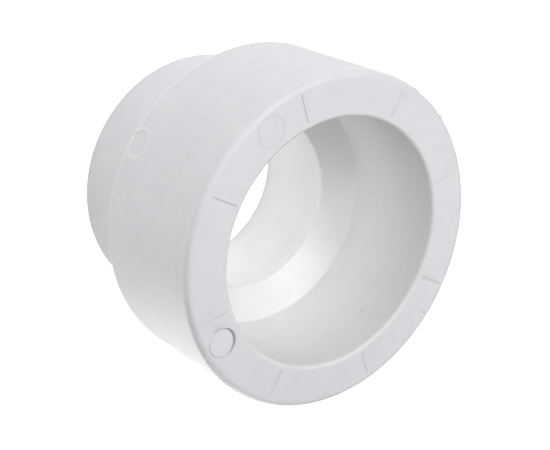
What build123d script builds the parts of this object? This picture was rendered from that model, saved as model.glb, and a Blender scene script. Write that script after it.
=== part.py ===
from build123d import *
import os
from math import cos, radians, sin

# A plastic reducing coupling for socket fusion: one moulding that joins a 50 mm pipe to a
# 40 mm pipe. Millimetres. The axis is +Z. The small end stands on Z = 0, with the origin at
# the centre of its face, and the large socket opens upward.

# Driving dimensions
OVERALL_LENGTH = 49.0
LARGE_END_RADIUS = 33.0         # outside, at the large end face
LARGE_RIM_RADIUS = 33.26        # outside, at the step, where the mould halves meet
LARGE_BODY_LENGTH = 27.6
SMALL_END_RADIUS = 27.0         # outside, at the small end face
SMALL_ROOT_RADIUS = 27.2        # outside, where the small end meets the step
LARGE_SOCKET_DEPTH = 23.3
LARGE_SOCKET_RADIUS = 24.4      # a parallel socket for 50 mm pipe
SMALL_SOCKET_DEPTH = 18.4
SMALL_SOCKET_RADIUS = 19.15     # a parallel socket for 40 mm pipe
THROAT_RADIUS = 18.4
STOP_RING_LENGTH = 2.5          # from the bottom of the small socket up to the shoulder

# Edge roundings
LARGE_FACE_OUTER_ROUND = 1.3
LARGE_FACE_INNER_ROUND = 0.8
RIM_ROUND = 0.4
STEP_ROOT_ROUND = 0.8
SMALL_FACE_OUTER_ROUND = 1.0
SMALL_FACE_INNER_ROUND = 0.4
SHOULDER_ROOT_ROUND = 0.5
THROAT_LIP_ROUND = 0.6
STOP_EDGE_ROUND = 0.35
STOP_ROOT_ROUND = 0.2

# Marks that the mould leaves
TICK_COUNT = 8                  # radial hairlines round the large end face
TICK_INNER_RADIUS = 25.9
TICK_OUTER_RADIUS = 31.2
TICK_WIDTH = 0.25
TICK_DEPTH = 0.12
PIN_RADIUS = 2.8                # ejector pins that pushed on the large end face
PIN_CENTRE_RADIUS = 28.8
PIN_ANGLES = (67.0, 143.5, 240.5, 325.5)
PIN_DEPTHS = (0.06, 0.06, 0.1, 0.25)
GATE_ANGLE = 265.0              # the feed point, in the outside wall beside the rim
GATE_RADIUS = 2.8
GATE_DEPTH = 0.3
GATE_RIM_GAP = 0.1              # from the gate's edge down to the step

STEP_HEIGHT = OVERALL_LENGTH - LARGE_BODY_LENGTH
SHOULDER_TOP = OVERALL_LENGTH - LARGE_SOCKET_DEPTH
SHOULDER_BOTTOM = SMALL_SOCKET_DEPTH + STOP_RING_LENGTH


def moulding_body():
    """The turned shape: outside wall with its step, both sockets, shoulder and stop ring."""
    # Each corner is a radius, a height and the rounding of that edge.
    corners = [
        (SMALL_END_RADIUS, 0, SMALL_FACE_OUTER_ROUND),
        (SMALL_ROOT_RADIUS, STEP_HEIGHT, STEP_ROOT_ROUND),
        (LARGE_RIM_RADIUS, STEP_HEIGHT, RIM_ROUND),
        (LARGE_END_RADIUS, OVERALL_LENGTH, LARGE_FACE_OUTER_ROUND),
        (LARGE_SOCKET_RADIUS, OVERALL_LENGTH, LARGE_FACE_INNER_ROUND),
        (LARGE_SOCKET_RADIUS, SHOULDER_TOP, SHOULDER_ROOT_ROUND),
        (THROAT_RADIUS, SHOULDER_BOTTOM, THROAT_LIP_ROUND),
        (THROAT_RADIUS, SMALL_SOCKET_DEPTH, STOP_EDGE_ROUND),
        (SMALL_SOCKET_RADIUS, SMALL_SOCKET_DEPTH, STOP_ROOT_ROUND),
        (SMALL_SOCKET_RADIUS, 0, SMALL_FACE_INNER_ROUND),
    ]
    points = [(radius, height) for radius, height, rounding in corners]
    roundings = [rounding for radius, height, rounding in corners]
    with BuildPart() as body:
        with BuildSketch(Plane.XZ):
            with BuildLine():
                FilletPolyline(*points, radius=roundings, close=True)
            make_face()
        revolve(axis=Axis.Z)
    return body.part


def tick_marks():
    """Shallow radial hairline grooves, evenly spaced round the large end face."""
    tick_length = TICK_OUTER_RADIUS - TICK_INNER_RADIUS
    middle = (TICK_OUTER_RADIUS + TICK_INNER_RADIUS) / 2
    groove = Pos(middle, 0, OVERALL_LENGTH) * Box(tick_length, TICK_WIDTH, 2 * TICK_DEPTH)
    return [Rot(0, 0, index * 360 / TICK_COUNT) * groove for index in range(TICK_COUNT)]


def ejector_marks():
    """Round prints of the four ejector pins, each pressed in by its own small depth."""
    prints = []
    for angle, depth in zip(PIN_ANGLES, PIN_DEPTHS):
        x = PIN_CENTRE_RADIUS * cos(radians(angle))
        y = PIN_CENTRE_RADIUS * sin(radians(angle))
        prints.append(Pos(x, y, OVERALL_LENGTH) * Cylinder(PIN_RADIUS, 2 * depth))
    return prints


def gate_mark():
    """Flat-bottomed round recess in the outside wall where the plastic was fed in."""
    height = STEP_HEIGHT + GATE_RIM_GAP + GATE_RADIUS
    floor_radius = LARGE_RIM_RADIUS - GATE_DEPTH
    cutter = Pos(floor_radius, 0, height) * Rot(0, 90, 0)
    cutter *= Cylinder(GATE_RADIUS, 2, align=(Align.CENTER, Align.CENTER, Align.MIN))
    return Rot(0, 0, GATE_ANGLE) * cutter


def coupling_body():
    """The finished moulding with its marks cut in."""
    body = moulding_body()
    for mark in tick_marks() + ejector_marks() + [gate_mark()]:
        body -= mark
    return body


os.makedirs("parts", exist_ok=True)
export_step(coupling_body(), "parts/coupling_body.step")
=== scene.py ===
from math import cos, exp, hypot, pi, radians, sin

import bpy
from mathutils import Matrix, Vector


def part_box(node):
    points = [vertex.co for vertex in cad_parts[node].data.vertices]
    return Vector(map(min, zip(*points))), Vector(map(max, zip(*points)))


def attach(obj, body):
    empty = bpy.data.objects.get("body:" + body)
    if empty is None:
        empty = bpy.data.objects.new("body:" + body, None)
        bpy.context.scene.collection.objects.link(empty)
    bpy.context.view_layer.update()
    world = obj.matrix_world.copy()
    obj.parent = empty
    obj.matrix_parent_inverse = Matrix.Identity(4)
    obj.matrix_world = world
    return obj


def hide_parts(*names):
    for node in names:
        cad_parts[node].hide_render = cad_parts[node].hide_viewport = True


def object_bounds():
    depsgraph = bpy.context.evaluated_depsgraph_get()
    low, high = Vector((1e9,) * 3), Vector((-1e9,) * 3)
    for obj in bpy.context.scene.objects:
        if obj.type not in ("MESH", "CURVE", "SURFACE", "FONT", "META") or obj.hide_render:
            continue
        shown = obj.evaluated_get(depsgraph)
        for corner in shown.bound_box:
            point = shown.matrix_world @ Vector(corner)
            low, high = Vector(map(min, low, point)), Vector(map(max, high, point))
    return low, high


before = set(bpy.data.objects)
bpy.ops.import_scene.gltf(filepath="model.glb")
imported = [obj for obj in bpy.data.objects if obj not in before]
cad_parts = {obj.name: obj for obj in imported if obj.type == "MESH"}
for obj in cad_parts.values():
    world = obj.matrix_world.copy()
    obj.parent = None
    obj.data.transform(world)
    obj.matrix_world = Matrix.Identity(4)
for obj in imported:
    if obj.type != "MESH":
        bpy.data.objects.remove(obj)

# A white plastic socket-fusion reducing coupling, standing on its small end with the large
# socket open upward. Shapes are worked out in millimetres and built in metres.

MM = 0.001
CAD_LOW, CAD_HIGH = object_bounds()
BODY_LOW, BODY_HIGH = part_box("coupling_body")

# Main sizes, in millimetres. Length and rim radius come from the frame, whose facets fall a
# little short of the rim circle.
FACET_GAP = 0.005
MOULD_DRAFT = 0.26
LENGTH = BODY_HIGH.z / MM
RIM_RADIUS = (BODY_HIGH.x - BODY_LOW.x) / 2 / MM + FACET_GAP
LARGE_END_RADIUS = RIM_RADIUS - MOULD_DRAFT
LARGE_BODY_LENGTH = 27.6
SMALL_END_RADIUS = 27.0
SMALL_ROOT_RADIUS = 27.2
LARGE_SOCKET_DEPTH = 23.3
LARGE_SOCKET_RADIUS = 24.4
SMALL_SOCKET_DEPTH = 18.4
SMALL_SOCKET_RADIUS = 19.15
THROAT_RADIUS = 18.4
STOP_RING_LENGTH = 2.5
STEP_HEIGHT = LENGTH - LARGE_BODY_LENGTH
SHOULDER_TOP = LENGTH - LARGE_SOCKET_DEPTH
SHOULDER_BOTTOM = SMALL_SOCKET_DEPTH + STOP_RING_LENGTH

# Edge roundings
LARGE_FACE_OUTER_ROUND = 1.3
LARGE_FACE_INNER_ROUND = 0.8
RIM_ROUND = 0.4
STEP_ROOT_ROUND = 0.8
SMALL_FACE_OUTER_ROUND = 1.0
SMALL_FACE_INNER_ROUND = 0.4
SHOULDER_ROOT_ROUND = 0.5
THROAT_LIP_ROUND = 0.6
STOP_EDGE_ROUND = 0.35
STOP_ROOT_ROUND = 0.2
ARC_STEPS = 9

# Row spacing along the profile, and how close to an edge the first row of a straight run is
WALL_SPACING = 1.5
MARK_SPACING = 0.1
GATE_SPACING = 0.16
EDGE_MARGIN = 0.15

# Heights this close together count as the same
HEIGHT_TOLERANCE = 0.001

# Where the outside plastic ends: this far outside each socket's radius, and for the small
# socket only below this height
LARGE_SEAM_MARGIN = 0.6
SMALL_SEAM_MARGIN = 0.5
SMALL_SEAM_HEIGHT = 2.0
OUTSIDE_SLOT = 0
INSIDE_SLOT = 1

# Mould marks on the large end face
TICK_COUNT = 8
TICK_INNER = 25.9
TICK_OUTER = 31.2
TICK_WIDTH = 0.26
TICK_DEPTH = 0.10
TICK_END_FADE = 0.25
# A hairline's sides slope between these two distances from its middle, as shares of its width
TICK_SIDE_START = 0.25
TICK_SIDE_END = 0.75
# How strongly each hairline shows, from angle 0 round by 45 degrees
TICK_STRENGTHS = (0.8, 0.7, 0.7, 0.3, 0.6, 1.0, 1.0, 0.4)
# How dark the painted shade in a hairline's groove is at full strength
TICK_PAINTED_SHADE = 0.32
PIN_RADIUS = 2.8
PIN_CENTRE_RADIUS = 28.8
PIN_LINE_WIDTH = 0.14
# The edge of a tilted floor starts and ends this far inside and outside the print's radius
PIN_EDGE_INSIDE = 0.12
PIN_EDGE_OUTSIDE = 0.06
# Depth at the middle of a tilted floor, as a share of its tilt
PIN_MIDDLE_SHARE = 0.35
# Each pin print: angle, outline depth, how much its floor deepens towards the axis, and the strength of
# the painted shade on its outline
PINS = (
    (67.0, 0.02, 0.01, 0.10),
    (143.5, 0.01, 0.01, 0.05),
    (240.5, 0.03, 0.02, 0.15),
    (325.5, 0.05, 0.22, 0.2),
)
# A steeply tilted pin print gets a painted shadow crescent on one side, where its recess wall is in
# shade: how far that side is turned from the one nearest the axis, in degrees, and the crescent's width,
# fade and painted shade strength
STEEP_TILT = 0.1
PIN_CRESCENT_TURN = -20.0
PIN_CRESCENT_WIDTH = 0.55
PIN_CRESCENT_FADE = 0.25
PIN_CRESCENT_PAINTED_SHADOW = 0.8

# A fine raised line where the mould halves met, just above the rim
PARTING_HEIGHT = STEP_HEIGHT + 0.4
PARTING_RISE = 0.08
PARTING_WIDTH = 0.2
PARTING_ZONE = 0.8
PARTING_SPACING = 0.05

# Gate mark beside the rim
GATE_ANGLE = 265.0
GATE_RADIUS = 2.8
GATE_DEPTH = 0.22
GATE_SIDE_WIDTH = 0.45
GATE_RIM_GAP = 0.1
GATE_LIP = 0.09
GATE_LIP_GAP = 0.1
GATE_LIP_WIDTH = 0.32
# How strongly the gate lip takes the painted highlight
GATE_LIP_HIGHLIGHT = 0.6
GATE_HEIGHT = STEP_HEIGHT + GATE_RIM_GAP + GATE_RADIUS
GATE_ZONE_TOP = GATE_HEIGHT + GATE_RADIUS + 3 * GATE_LIP_WIDTH

# Small burrs on the outer edge of the large end: angle, height, half width along the edge
BURRS = ((173.6, 0.22, 0.6), (157.5, 0.32, 0.35), (127.1, 0.30, 0.3))

# The share of the outer rounding, inwards from the end radius, that counts as outside wall
OUTER_ROUND_SHARE = 0.7

# How dark the faint rub marks round the body are, as a share of its colour, and how many
# times shorter they are along the axis than round it
RUB_TONE = 0.95
RUB_SQUEEZE = 3

# Dust specks: their colour, and how sharply the cells with a speck are told from the rest
DUST_COLOUR = (0.34, 0.33, 0.33)
DUST_CUT = 0.01

# The share of the fine grain in the surface relief, next to the coarser mottle
FINE_RELIEF_SHARE = 0.35

# The colour that the painted shade in the mould marks' grooves and recesses darkens towards
PAINTED_SHADE_COLOUR = (0.30, 0.30, 0.31)

# Painted highlight: the colour that the parting line, the gate lip and the edge of the stop ring are
# lightened towards, in place of the light these thin edges catch
PAINTED_HIGHLIGHT_COLOUR = (0.98, 0.98, 0.98)

# Light that the floor gives off, as a light source and as the camera sees it
FLOOR_GLOW = 0.36
FLOOR_GLOW_SEEN = 1.0
FLOOR_HALF_SIDE = 3.0

# Lamps, in metres and watts. Azimuth 0 is on the -Y side and 90 on +X.
NEUTRAL = (1, 1, 1)
COOL = (0.965, 0.98, 1.0)
SOFTBOX_DISTANCE = 0.55
SOFTBOX_SIDE = 0.15
# Each softbox: name, azimuth, elevation, power and colour
SOFTBOXES = (
    ("key", 290, 48, 0.35, COOL),
    ("low_key", 330, 45, 0.55, COOL),
    ("high_key", 310, 62, 0.2, COOL),
    ("back_softbox", 255, 62, 0.95, COOL),
    ("rear_softbox", 180, 45, 0.35, NEUTRAL),
    ("front_softbox", 0, 45, 0.25, NEUTRAL),
    ("side_softbox", 50, 62, 0.2, NEUTRAL),
    ("far_softbox", 90, 62, 0.15, NEUTRAL),
)
UPWARD_LAMP_HEIGHT = 0.001

# Camera place and aim in millimetres, and the direction that is up in the picture
CAMERA_PLACE = (-10.0, -150.2, 203.0)
CAMERA_AIM = (0.6, -16.0, 49.0)
CAMERA_UP = (-0.917, -0.267, -0.295)
CAMERA_LENS = 75.3
CAMERA_SENSOR = 36.0

# Column spacing round the axis, in degrees
BASE_STEP = 2.0
TICK_STEP = 0.08
TICK_REACH = 0.4
PIN_STEP = 0.2
PIN_REACH = 5.6
GATE_STEP = 0.28
GATE_REACH = 5.8
BURR_STEP = 0.25
BURR_REACH = 2.5


def smooth_step(low, high, value):
    """0 below low, 1 above high, and a smooth ramp between them."""
    share = min(max((value - low) / (high - low), 0.0), 1.0)
    return share * share * (3 - 2 * share)


# ---------------------------------------------------------------- the moulded body


def profile_corners():
    """Corners of the half section: radius, height, edge rounding, spacing on the way here."""
    return [
        (SMALL_END_RADIUS, 0.0, SMALL_FACE_OUTER_ROUND, WALL_SPACING),
        (SMALL_ROOT_RADIUS, STEP_HEIGHT, STEP_ROOT_ROUND, WALL_SPACING),
        (RIM_RADIUS, STEP_HEIGHT, RIM_ROUND, WALL_SPACING),
        (LARGE_END_RADIUS, LENGTH, LARGE_FACE_OUTER_ROUND, GATE_SPACING),
        (LARGE_SOCKET_RADIUS, LENGTH, LARGE_FACE_INNER_ROUND, MARK_SPACING),
        (LARGE_SOCKET_RADIUS, SHOULDER_TOP, SHOULDER_ROOT_ROUND, WALL_SPACING),
        (THROAT_RADIUS, SHOULDER_BOTTOM, THROAT_LIP_ROUND, WALL_SPACING),
        (THROAT_RADIUS, SMALL_SOCKET_DEPTH, STOP_EDGE_ROUND, WALL_SPACING),
        (SMALL_SOCKET_RADIUS, SMALL_SOCKET_DEPTH, STOP_ROOT_ROUND, WALL_SPACING),
        (SMALL_SOCKET_RADIUS, 0.0, SMALL_FACE_INNER_ROUND, WALL_SPACING),
    ]


def rounded_corner(before, corner, after, rounding):
    """Points of the arc that rounds one corner, from the first tangent point to the last."""
    back = (before - corner).normalized()
    ahead = (after - corner).normalized()
    half_turn = (pi - back.angle(ahead)) / 2
    reach = rounding * sin(half_turn) / cos(half_turn)
    start = corner + back * reach
    end = corner + ahead * reach
    centre = corner + (back + ahead).normalized() * (rounding / cos(half_turn))
    first = start - centre
    last = end - centre
    points = []
    for step in range(ARC_STEPS + 1):
        share = step / ARC_STEPS
        points.append(centre + first.slerp(last, share) * rounding)
    return points


def straight_run(start, end, spacing):
    """Points strictly between two ends, with one close to each end to hold the shading flat."""
    length = (end - start).length
    direction = (end - start).normalized()
    if length < 3 * EDGE_MARGIN:
        return []
    inner = length - 2 * EDGE_MARGIN
    count = max(1, round(inner / spacing))
    return [start + direction * (EDGE_MARGIN + inner * step / count) for step in range(count + 1)]


def evenly_between(start, end, spacing):
    """Evenly spaced points strictly between two ends."""
    count = round((end - start).length / spacing)
    return [start.lerp(end, step / count) for step in range(1, count)]


def gate_zone_run(start, end):
    """The large outside wall: finest rows on the parting line, fine at the gate, wide above."""
    direction = (end - start).normalized()
    zone_end = start + direction * (GATE_ZONE_TOP - start.y) / direction.y
    line_end = start + direction * PARTING_ZONE
    finest = evenly_between(start, line_end, PARTING_SPACING)
    fine = evenly_between(line_end, zone_end, GATE_SPACING)
    coarse = straight_run(zone_end, end, WALL_SPACING)
    return finest + [line_end] + fine + coarse


def profile_points():
    """The closed half section as a list of 2-D points: radius and height."""
    radii, heights, roundings, spacings = zip(*profile_corners())
    places = [Vector(place) for place in zip(radii, heights)]
    arcs = []
    for index, rounding in enumerate(roundings):
        before = places[index - 1]
        after = places[(index + 1) % len(places)]
        arcs.append(rounded_corner(before, places[index], after, rounding))
    points = []
    for index, spacing in enumerate(spacings):
        start = arcs[index - 1][-1]
        end = arcs[index][0]
        if spacing == GATE_SPACING:
            points += gate_zone_run(start, end)
        else:
            points += straight_run(start, end, spacing)
        points += arcs[index]
    return points


def angle_gap(first, second):
    """The smaller angle between two directions, in degrees."""
    gap = abs(first - second) % 360
    return min(gap, 360 - gap)


def fine_angles(centre, reach, step):
    """Evenly spaced angles round a mark."""
    count = round(reach / step)
    return [centre + step * index for index in range(-count, count + 1)]


def column_angles():
    """All column angles in degrees: an even base, with fine stretches round each mark."""
    stretches = [(index * 360 / TICK_COUNT, TICK_REACH, TICK_STEP) for index in range(TICK_COUNT)]
    stretches += [(angle, PIN_REACH, PIN_STEP) for angle, outline, tilt, painted_shade in PINS]
    stretches.append((GATE_ANGLE, GATE_REACH, GATE_STEP))
    stretches += [(angle, BURR_REACH, BURR_STEP) for angle, height, half_width in BURRS]
    angles = []
    for centre, reach, step in stretches:
        angles += [angle % 360 for angle in fine_angles(centre, reach, step)]
    for index in range(round(360 / BASE_STEP)):
        angle = index * BASE_STEP
        if all(angle_gap(angle, centre) > reach for centre, reach, step in stretches):
            angles.append(angle)
    angles.sort()
    kept = [angles[0]]
    for angle in angles[1:]:
        if angle - kept[-1] > TICK_STEP / 2:
            kept.append(angle)
    return kept


def tick_share(radius, angle):
    """How far into a radial hairline a place on the large end face lies, from 0 to 1."""
    pitch = 360 / TICK_COUNT
    nearest = round(angle / pitch)
    across = radius * radians(abs(angle - nearest * pitch))
    side = 1 - smooth_step(TICK_WIDTH * TICK_SIDE_START, TICK_WIDTH * TICK_SIDE_END, across)
    inner = smooth_step(TICK_INNER - TICK_END_FADE, TICK_INNER, radius)
    outer = 1 - smooth_step(TICK_OUTER, TICK_OUTER + TICK_END_FADE, radius)
    return TICK_STRENGTHS[nearest % TICK_COUNT] * side * inner * outer


def pin_marks(x, y):
    """Depth and painted shade of the ejector pin prints at a place on the large end face."""
    depth = 0.0
    painted_shade = 0.0
    for angle, outline, tilt, shade_strength in PINS:
        ahead = Vector((cos(radians(angle)), sin(radians(angle))))
        offset = Vector((x, y)) - ahead * PIN_CENTRE_RADIUS
        distance = offset.length
        line = (distance - PIN_RADIUS) / PIN_LINE_WIDTH
        outline_share = exp(-line * line)
        depth += outline * outline_share
        inside = 1 - smooth_step(PIN_RADIUS - PIN_EDGE_INSIDE, PIN_RADIUS + PIN_EDGE_OUTSIDE, distance)
        depth += inside * tilt * (PIN_MIDDLE_SHARE - offset.dot(ahead) / PIN_RADIUS)
        painted_shade += shade_strength * outline_share
        if tilt > STEEP_TILT:
            # A steep print gets a painted shadow crescent on the side where its recess wall is in shade
            darkest = radians(angle + 180 + PIN_CRESCENT_TURN)
            shift = Vector((cos(darkest), sin(darkest))) * PIN_CRESCENT_WIDTH
            moved = (offset + shift).length
            shadow_crescent = smooth_step(PIN_RADIUS, PIN_RADIUS + PIN_CRESCENT_FADE, moved) * inside
            painted_shade += shadow_crescent * PIN_CRESCENT_PAINTED_SHADOW
    return depth, painted_shade


def rim_marks(angle, height):
    """Rise and painted highlight beside the rim: the parting line, and the gate mark with its low lip.
    """
    parting = (height - PARTING_HEIGHT) / PARTING_WIDTH
    parting_share = exp(-parting * parting)
    across = RIM_RADIUS * radians(angle_gap(angle, GATE_ANGLE))
    distance = hypot(across, height - GATE_HEIGHT)
    floor = GATE_DEPTH * (1 - smooth_step(GATE_RADIUS - GATE_SIDE_WIDTH, GATE_RADIUS, distance))
    lip = (distance - GATE_RADIUS - GATE_LIP_GAP) / GATE_LIP_WIDTH
    lip_share = exp(-lip * lip)
    rise = PARTING_RISE * parting_share + GATE_LIP * lip_share - floor
    return rise, min(parting_share + lip_share * GATE_LIP_HIGHLIGHT, 1.0)


def burr_height(angle):
    """Height of the small burrs along the outer edge of the large end face."""
    total = 0.0
    for centre, height, half_width in BURRS:
        along = LARGE_END_RADIUS * radians(angle_gap(angle, centre)) / half_width
        total += height * exp(-along * along)
    return total


def body_vertex(point, angle):
    """One vertex in millimetres, with the painted shade and the painted highlight that the marks give
    it.
    """
    radius, height = point.x, point.y
    turn = radians(angle)
    painted_shade = 0.0
    pale = 0.0
    on_outside = radius > LARGE_END_RADIUS - LARGE_FACE_OUTER_ROUND * OUTER_ROUND_SHARE
    on_stop_edge = radius < THROAT_RADIUS + STOP_EDGE_ROUND
    if height > LENGTH - HEIGHT_TOLERANCE and radius > LARGE_SOCKET_RADIUS:
        tick = tick_share(radius, angle)
        pin, pin_painted_shade = pin_marks(radius * cos(turn), radius * sin(turn))
        height -= tick * TICK_DEPTH + pin
        # Painted shade in the hairline grooves and pin prints
        painted_shade = min(tick * TICK_PAINTED_SHADE + pin_painted_shade, 1.0)
    elif on_outside and height < GATE_ZONE_TOP:
        # The parting line and gate lip get a painted highlight as well as their rise
        rise, pale = rim_marks(angle, height)
        radius += rise
    elif on_stop_edge and height > SMALL_SOCKET_DEPTH - HEIGHT_TOLERANCE:
        # Painted highlight on the edge of the stop ring, in place of the light that shines through the
        # thin ring
        stop_edge_top = SMALL_SOCKET_DEPTH + STOP_EDGE_ROUND
        pale = 1 - smooth_step(stop_edge_top, stop_edge_top + EDGE_MARGIN, height)
    if on_outside and height > LENGTH - LARGE_FACE_OUTER_ROUND:
        rise = sin(pi * (height - LENGTH + LARGE_FACE_OUTER_ROUND) / LARGE_FACE_OUTER_ROUND)
        radius += burr_height(angle) * max(rise, 0.0)
    return Vector((radius * cos(turn), radius * sin(turn), height)), painted_shade, pale


def is_outside(point):
    """True on the outside walls and the end faces, false in the sockets and the throat."""
    on_small_end = point.y < SMALL_SEAM_HEIGHT and point.x > SMALL_SOCKET_RADIUS + SMALL_SEAM_MARGIN
    return on_small_end or point.x > LARGE_SOCKET_RADIUS + LARGE_SEAM_MARGIN


def make_moulded_body(outside_material, inside_material):
    """Builds the whole moulding as one closed mesh of rings and columns."""
    rings = profile_points()
    angles = column_angles()
    columns = len(angles)
    vertices = []
    painted_shades = []
    painted_highlights = []
    for point in rings:
        for angle in angles:
            place, painted_shade, pale = body_vertex(point, angle)
            vertices.append(place * MM)
            painted_shades.append(painted_shade)
            painted_highlights.append(pale)
    faces = []
    materials = []
    for row in range(len(rings)):
        next_row = (row + 1) % len(rings)
        inside = not is_outside(rings[row]) and not is_outside(rings[next_row])
        for column in range(columns):
            next_column = (column + 1) % columns
            first = row * columns
            second = next_row * columns
            faces.append((first + column, first + next_column, second + next_column, second + column))
            materials.append(INSIDE_SLOT if inside else OUTSIDE_SLOT)
    mesh = bpy.data.meshes.new("moulded_body")
    mesh.from_pydata(vertices, [], faces)
    mesh.materials.append(outside_material)
    mesh.materials.append(inside_material)
    for polygon, index in zip(mesh.polygons, materials):
        polygon.use_smooth = True
        polygon.material_index = index
    for name, levels in (("painted_mark_shade", painted_shades), ("painted_edge_highlight", painted_highlights)):
        layer = mesh.attributes.new(name, "FLOAT", "POINT")
        layer.data.foreach_set("value", levels)
    mesh.update()
    body = bpy.data.objects.new("moulded_body", mesh)
    bpy.context.scene.collection.objects.link(body)
    return body


# ---------------------------------------------------------------- material


def add_node(tree, kind, **settings):
    """Adds a shader node and sets its plain properties."""
    node = tree.nodes.new(kind)
    for name, value in settings.items():
        setattr(node, name, value)
    return node


def noise(tree, place, scale, detail, roughness):
    """A noise texture in object space; scale counts features per metre."""
    node = add_node(tree, "ShaderNodeTexNoise")
    node.inputs["Scale"].default_value = scale
    node.inputs["Detail"].default_value = detail
    node.inputs["Roughness"].default_value = roughness
    tree.links.new(place, node.inputs["Vector"])
    return node.outputs["Fac"]


def ramp(tree, source, stops):
    """A colour ramp over a grey source: stops are (place, grey or colour)."""
    node = add_node(tree, "ShaderNodeValToRGB")
    band = node.color_ramp
    while len(band.elements) < len(stops):
        band.elements.new(0.5)
    for element, (place, value) in zip(band.elements, stops):
        element.position = place
        colour = value if isinstance(value, tuple) else (value, value, value)
        element.color = (*colour, 1)
    tree.links.new(source, node.inputs["Fac"])
    return node.outputs["Color"]


def mix(tree, share, first, second):
    """Mixes two colours; share is a socket or a number."""
    node = add_node(tree, "ShaderNodeMix", data_type="RGBA")
    sockets = [entry for entry in node.inputs if entry.type == "RGBA"]
    for socket, value in zip(sockets, (first, second)):
        if isinstance(value, tuple):
            socket.default_value = (*value, 1)
        else:
            tree.links.new(value, socket)
    if isinstance(share, float):
        node.inputs[0].default_value = share
    else:
        tree.links.new(share, node.inputs[0])
    return [entry for entry in node.outputs if entry.type == "RGBA"][0]


def specks(tree, place, scale, size, share):
    """Sparse round dots, 1 inside a dot: scale is cells per metre, size is in cells."""
    cells = add_node(tree, "ShaderNodeTexVoronoi", feature="F1")
    cells.inputs["Scale"].default_value = scale
    tree.links.new(place, cells.inputs["Vector"])
    dot = ramp(tree, cells.outputs["Distance"], ((0.0, 1.0), (size, 0.0)))
    chosen = add_node(tree, "ShaderNodeSeparateColor")
    tree.links.new(cells.outputs["Color"], chosen.inputs["Color"])
    few = ramp(tree, chosen.outputs["Red"], ((1 - share - DUST_CUT, 0.0), (1 - share, 1.0)))
    both = add_node(tree, "ShaderNodeMath", operation="MULTIPLY")
    tree.links.new(dot, both.inputs[0])
    tree.links.new(few, both.inputs[1])
    return both.outputs["Value"]


def moulded_plastic(name, pale, deep, mottle_mm):
    """White polypropylene: slight colour drift, faint rub marks and dust specks, painted shade on the
    mould marks, painted highlight on thin edges, fine mottle.
    """
    material = bpy.data.materials.new(name)
    material.use_nodes = True
    tree = material.node_tree
    shader = tree.nodes["Principled BSDF"]
    place = add_node(tree, "ShaderNodeTexCoord").outputs["Object"]

    wide = noise(tree, place, scale=90, detail=5, roughness=0.6)
    drift = ramp(tree, wide, ((0.3, deep), (0.7, pale)))
    rub = add_node(tree, "ShaderNodeMapping")
    rub.inputs["Scale"].default_value = (1, 1, RUB_SQUEEZE)
    tree.links.new(place, rub.inputs["Vector"])
    streaks = noise(tree, rub.outputs["Vector"], scale=150, detail=4, roughness=0.65)
    rubbed = ramp(tree, streaks, ((0.5, 0.0), (0.7, 0.5)))
    worn = mix(tree, rubbed, drift, tuple(level * RUB_TONE for level in deep))
    dust = specks(tree, place, scale=260, size=0.07, share=0.5)
    dusty = mix(tree, dust, worn, DUST_COLOUR)
    # Painted shade in the grooves and recesses of the mould marks, read from the mesh
    painted_shade_marks = add_node(tree, "ShaderNodeAttribute", attribute_name="painted_mark_shade")
    with_painted_shade = mix(tree, painted_shade_marks.outputs["Fac"], dusty, PAINTED_SHADE_COLOUR)
    # Painted highlight on the thin edges, read from the mesh
    highlight_marks = add_node(tree, "ShaderNodeAttribute", attribute_name="painted_edge_highlight")
    coloured = mix(tree, highlight_marks.outputs["Fac"], with_painted_shade, PAINTED_HIGHLIGHT_COLOUR)
    tree.links.new(coloured, shader.inputs["Base Color"])

    fine = noise(tree, place, scale=2600, detail=3, roughness=0.6)
    coarse = noise(tree, place, scale=0.5 / MM / mottle_mm, detail=2, roughness=0.55)
    gloss = ramp(tree, coarse, ((0.25, 0.36), (0.75, 0.5)))
    tree.links.new(gloss, shader.inputs["Roughness"])

    relief = mix(tree, FINE_RELIEF_SHARE, coarse, fine)
    bump = add_node(tree, "ShaderNodeBump")
    bump.inputs["Strength"].default_value = 0.18
    bump.inputs["Distance"].default_value = 0.00006
    tree.links.new(relief, bump.inputs["Height"])
    tree.links.new(bump.outputs["Normal"], shader.inputs["Normal"])

    shader.inputs["IOR"].default_value = 1.49
    shader.inputs["Specular IOR Level"].default_value = 0.5
    shader.inputs["Subsurface Weight"].default_value = 0.35
    shader.inputs["Subsurface Radius"].default_value = (1.0, 0.95, 0.85)
    shader.inputs["Subsurface Scale"].default_value = 0.0018
    return material


def pale_floor():
    """A white light table: a soft light source that looks plain white to the camera."""
    material = bpy.data.materials.new("light_table")
    material.use_nodes = True
    tree = material.node_tree
    shader = tree.nodes["Principled BSDF"]
    shader.inputs["Base Color"].default_value = (0.9, 0.9, 0.9, 1)
    shader.inputs["Roughness"].default_value = 0.8
    shader.inputs["Specular IOR Level"].default_value = 0.1
    shader.inputs["Emission Color"].default_value = (1, 1, 1, 1)
    path = add_node(tree, "ShaderNodeLightPath")
    level = add_node(tree, "ShaderNodeMapRange")
    level.inputs["To Min"].default_value = FLOOR_GLOW
    level.inputs["To Max"].default_value = FLOOR_GLOW_SEEN
    tree.links.new(path.outputs["Is Camera Ray"], level.inputs["Value"])
    tree.links.new(level.outputs["Result"], shader.inputs["Emission Strength"])
    return material


# ---------------------------------------------------------------- stage, lights, camera


def make_floor():
    """A large flat floor that the coupling stands on."""
    half = FLOOR_HALF_SIDE
    mesh = bpy.data.meshes.new("floor")
    corners = [(-half, -half, 0), (half, -half, 0), (half, half, 0), (-half, half, 0)]
    mesh.from_pydata(corners, [], [(0, 1, 2, 3)])
    mesh.materials.append(pale_floor())
    floor = bpy.data.objects.new("floor", mesh)
    bpy.context.scene.collection.objects.link(floor)


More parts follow.
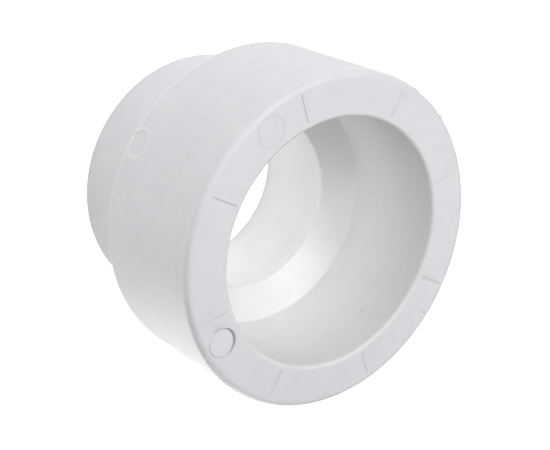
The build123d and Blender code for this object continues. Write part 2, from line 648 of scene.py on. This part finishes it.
def area_lamp(name, shape, width, height, power):
    """Adds a flat lamp that the camera doesn't see, for its caller to place."""
    lamp = bpy.data.lights.new(name, "AREA")
    lamp.shape = shape
    lamp.size = width
    lamp.size_y = height
    lamp.energy = power
    lamp_object = bpy.data.objects.new(name, lamp)
    lamp_object.visible_camera = False
    bpy.context.scene.collection.objects.link(lamp_object)
    return lamp_object


def soft_light(name, azimuth, elevation, distance, width, height, power, colour):
    """A rectangular lamp that faces the middle of the coupling."""
    lamp = area_lamp(name, "RECTANGLE", width, height, power)
    lamp.data.color = colour
    turn = radians(azimuth)
    rise = radians(elevation)
    away = Vector((sin(turn) * cos(rise), -cos(turn) * cos(rise), sin(rise)))
    lamp.location = (CAD_LOW + CAD_HIGH) / 2 + away * distance
    lamp.rotation_mode = "QUATERNION"
    lamp.rotation_quaternion = away.to_track_quat("Z", "Y")


def upward_glow(name, shape, width, height, place, power):
    """A flat lamp just above the light table that shines straight up; place is x and y."""
    lamp = area_lamp(name, shape, width, height, power)
    lamp.location = (*place, UPWARD_LAMP_HEIGHT)
    lamp.rotation_euler = (pi, 0, 0)


def make_world():
    """Plain white wherever the camera sees past the floor, and no light source itself."""
    world = bpy.data.worlds.new("surroundings")
    bpy.context.scene.world = world
    world.use_nodes = True
    tree = world.node_tree
    background = tree.nodes["Background"]
    background.inputs["Color"].default_value = (1, 1, 1, 1)
    path = add_node(tree, "ShaderNodeLightPath")
    tree.links.new(path.outputs["Is Camera Ray"], background.inputs["Strength"])


def make_lights():
    """Softboxes above, most on one side, and low lamps where a light table would shine."""
    for name, azimuth, elevation, power, colour in SOFTBOXES:
        soft_light(name, azimuth, elevation, SOFTBOX_DISTANCE, SOFTBOX_SIDE, SOFTBOX_SIDE, power, colour)
    soft_light("low_glow", 118, 0, distance=0.3, width=0.1, height=0.04, power=0.2, colour=NEUTRAL)
    upward_glow("table_glow", "RECTANGLE", width=0.05, height=0.08, place=(0.075, 0), power=0.015)
    upward_glow("bore_glow", "DISK", width=0.034, height=0.034, place=(0, 0), power=0.0007)


def make_camera():
    """Looks down into the large socket from the -Y side, turned so that the -X side is up."""
    camera = bpy.data.cameras.new("camera")
    camera.sensor_width = CAMERA_SENSOR
    camera.lens = CAMERA_LENS
    camera.clip_start = 0.01
    camera.clip_end = 20.0
    camera_object = bpy.data.objects.new("camera", camera)
    place = Vector(CAMERA_PLACE) * MM
    aim = Vector(CAMERA_AIM) * MM
    back = (place - aim).normalized()
    side = Vector(CAMERA_UP).cross(back).normalized()
    up = back.cross(side)
    turn = Matrix((side, up, back)).transposed()
    camera_object.matrix_world = Matrix.Translation(place) @ turn.to_4x4()
    bpy.context.scene.collection.objects.link(camera_object)
    bpy.context.scene.camera = camera_object


# ---------------------------------------------------------------- assembly

# One plastic in two copies: the outside copy's bluish tint is painted cool light, and the inside copy is
# paler and greener as painted light, in place of the light that bounces round and passes through the
# sockets
outside_painted_cool_light = moulded_plastic(
    "outside_painted_cool_light", pale=(0.87, 0.872, 0.886), deep=(0.845, 0.847, 0.864), mottle_mm=0.7
)
inside_painted_bright_light = moulded_plastic(
    "inside_painted_bright_light", pale=(0.905, 0.912, 0.897), deep=(0.885, 0.892, 0.876), mottle_mm=1.2
)
moulded_body = make_moulded_body(outside_painted_cool_light, inside_painted_bright_light)
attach(moulded_body, "root")
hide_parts("coupling_body")

bpy.context.scene.view_settings.view_transform = "Standard"
make_floor()
make_world()
make_lights()
make_camera()
